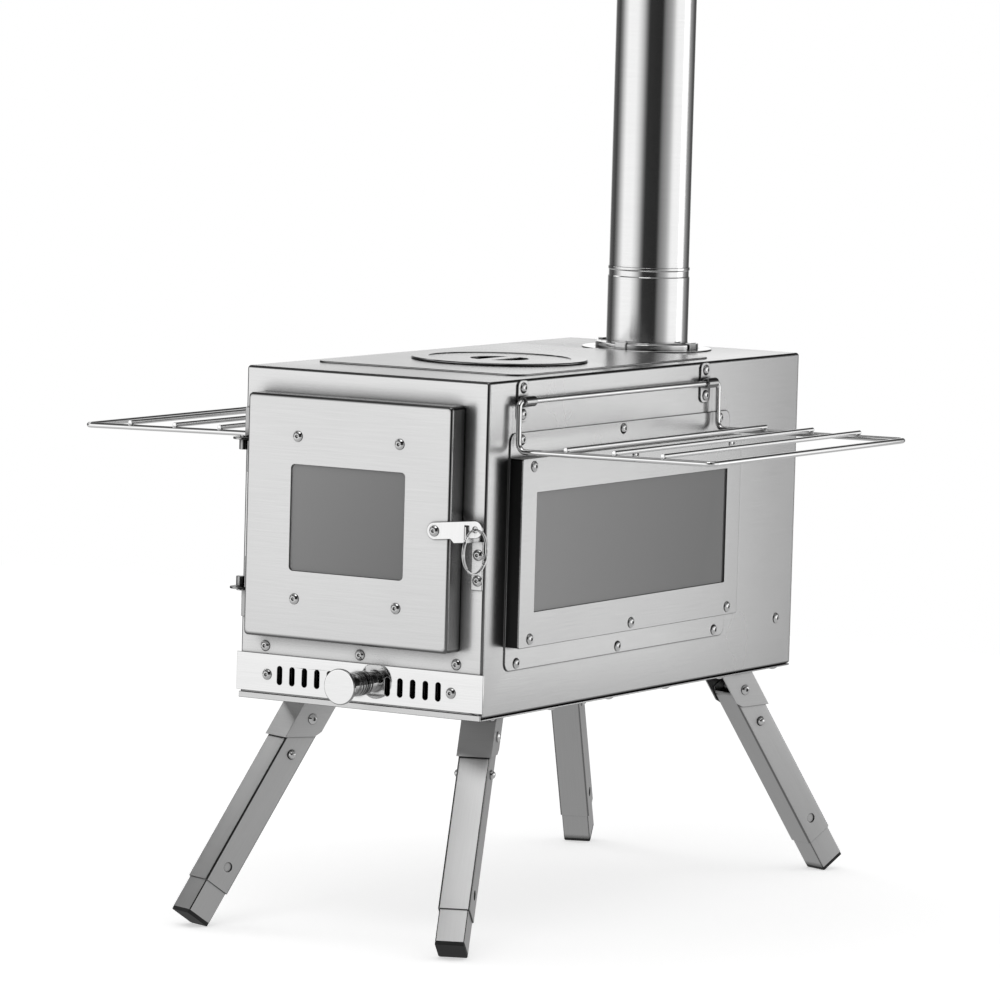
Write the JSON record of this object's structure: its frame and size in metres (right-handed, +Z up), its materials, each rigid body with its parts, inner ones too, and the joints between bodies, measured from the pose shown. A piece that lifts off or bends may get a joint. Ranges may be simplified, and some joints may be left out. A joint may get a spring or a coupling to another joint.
{
  "type": "tent wood stove",
  "caption": "Folding stainless tent wood stove with a glazed door, side windows, wire racks, sliding air inlet, lift-off lid, flue pipe and telescopic folding legs.",
  "frame": {"origin": "on the floor, under the middle of the four feet and of the two side racks", "axes": "+X towards the side with the door latch (the right as seen from the door), +Y from the door to the flue, +Z up along the flue pipe"},
  "size_m": [0.5216, 0.5616, 0.7541],
  "materials": {
    "brushed_sheet": "brushed stainless sheet",
    "plain_sheet": "mill-finish stainless sheet",
    "firebox_plate": "bare steel plate inside the firebox",
    "polished_plate": "polished stainless plate",
    "door_sheet": "brushed stainless door sheet",
    "screw_steel": "bright stainless screws and pins",
    "turned_knob": "turned and polished",
    "bright_wire": "bright stainless wire",
    "flue_steel": "polished rolled stainless sheet",
    "pane": "tinted heat-proof glass",
    "cord": "woven mineral cord",
    "leg_tube": "brushed square tube",
    "spring_steel": "bright spring steel",
    "foot_rubber": "black rubber cap"
  },
  "bodies": {
    "stove": {"body_wrap": "brushed_sheet", "base_pan": "plain_sheet", "front_panel": "brushed_sheet", "back_panel": "brushed_sheet", "cook_top": "brushed_sheet", "baffle": "firebox_plate", "baffle_rails": "firebox_plate", "grate": "firebox_plate", "air_plate": "polished_plate", "shutter_guides": "plain_sheet", "window_plate_right": "brushed_sheet", "window_plate_left": "brushed_sheet", "window_box_right": "plain_sheet", "window_box_left": "plain_sheet", "window_cover_right": "polished_plate", "window_cover_left": "polished_plate", "window_glass_right": "pane", "window_glass_left": "pane", "window_gaskets": "cord", "side_screws": "screw_steel", "front_screws": "screw_steel", "base_screws": "screw_steel", "hinge_brackets": "plain_sheet", "hinge_pins": "screw_steel", "latch_keeper": "polished_plate", "rack_clips": "plain_sheet", "flue_flange": "plain_sheet", "flue_adapter": "flue_steel", "leg_brackets": "plain_sheet", "leg_bolts": "screw_steel"},
    "door": {"door_tray": "door_sheet", "door_ears": "plain_sheet", "door_glass": "pane", "door_frame": "plain_sheet", "door_gasket": "cord", "door_screws": "screw_steel"},
    "latch": {"latch_bar": "polished_plate"},
    "ring": {"latch_ring": "bright_wire"},
    "damper": {"air_shutter": "plain_sheet", "air_knob": "turned_knob"},
    "rack_r": {"rack_right": "bright_wire"},
    "rack_l": {"rack_left": "bright_wire"},
    "lid_body": {"lid": "brushed_sheet"},
    "flue": {"flue_pipe": "flue_steel"},
    "leg_fl": {"leg_outer_fl": "leg_tube"},
    "foot_fl": {"leg_inner_fl": "leg_tube", "leg_button_fl": "spring_steel", "leg_foot_fl": "foot_rubber"},
    "leg_fr": {"leg_outer_fr": "leg_tube"},
    "foot_fr": {"leg_inner_fr": "leg_tube", "leg_button_fr": "spring_steel", "leg_foot_fr": "foot_rubber"},
    "leg_bl": {"leg_outer_bl": "leg_tube"},
    "foot_bl": {"leg_inner_bl": "leg_tube", "leg_button_bl": "spring_steel", "leg_foot_bl": "foot_rubber"},
    "leg_br": {"leg_outer_br": "leg_tube"},
    "foot_br": {"leg_inner_br": "leg_tube", "leg_button_br": "spring_steel", "leg_foot_br": "foot_rubber"}
  },
  "joints": [
    {"name": "door_hinge", "type": "hinge", "parent": "stove", "child": "door", "pos_m": [-0.0954, -0.233, 0.29113], "axis": [0, 0, -1], "range_deg": [0, 120]},
    {"name": "latch_turn", "type": "hinge", "parent": "door", "child": "latch", "pos_m": [0.0697, -0.24285, 0.29073], "axis": [0, -1, 0], "range_deg": [0, 55]},
    {"name": "ring_swing", "type": "hinge", "parent": "latch", "child": "ring", "pos_m": [0.10264, -0.24285, 0.29396], "axis": [0, -1, 0], "range_deg": [-4, 90]},
    {"name": "air_slide", "type": "slide", "parent": "stove", "child": "damper", "axis": [1, 0, 0], "range_m": [0, 0.0052]},
    {"name": "rack_right_fold", "type": "hinge", "parent": "stove", "child": "rack_r", "pos_m": [0.10495, -0.053, 0.37903], "axis": [0, -1, 0], "range_deg": [0, 95]},
    {"name": "rack_left_fold", "type": "hinge", "parent": "stove", "child": "rack_l", "pos_m": [-0.10495, -0.053, 0.37713], "axis": [0, 1, 0], "range_deg": [0, 95]},
    {"name": "lid_lift", "type": "slide", "parent": "stove", "child": "lid_body", "axis": [0, 0, 1], "range_m": [0, 0.06]},
    {"name": "flue_lift", "type": "slide", "parent": "stove", "child": "flue", "axis": [0, 0, 1], "range_m": [0, 0.06]},
    {"name": "fold_fl", "type": "hinge", "parent": "stove", "child": "leg_fl", "pos_m": [-0.074, -0.1825, 0.14283], "axis": [-0.9304, 0.3665, 0], "range_deg": [-124, 0]},
    {"name": "extend_fl", "type": "slide", "parent": "leg_fl", "child": "foot_fl", "axis": [-0.2065, -0.5243, -0.8261], "range_m": [0, 0.093], "deforming": ["leg_button_fl"]},
    {"name": "fold_fr", "type": "hinge", "parent": "stove", "child": "leg_fr", "pos_m": [0.074, -0.1825, 0.14283], "axis": [-0.9304, -0.3665, 0], "range_deg": [-124, 0]},
    {"name": "extend_fr", "type": "slide", "parent": "leg_fr", "child": "foot_fr", "axis": [0.2065, -0.5243, -0.8261], "range_m": [0, 0.093], "deforming": ["leg_button_fr"]},
    {"name": "fold_bl", "type": "hinge", "parent": "stove", "child": "leg_bl", "pos_m": [-0.074, 0.1825, 0.14283], "axis": [0.9304, 0.3665, 0], "range_deg": [-124, 0]},
    {"name": "extend_bl", "type": "slide", "parent": "leg_bl", "child": "foot_bl", "axis": [-0.2065, 0.5243, -0.8261], "range_m": [0, 0.093], "deforming": ["leg_button_bl"]},
    {"name": "fold_br", "type": "hinge", "parent": "stove", "child": "leg_br", "pos_m": [0.074, 0.1825, 0.14283], "axis": [0.9304, -0.3665, 0], "range_deg": [-124, 0]},
    {"name": "extend_br", "type": "slide", "parent": "leg_br", "child": "foot_br", "axis": [0.2065, 0.5243, -0.8261], "range_m": [0, 0.093], "deforming": ["leg_button_br"]}
  ]
}
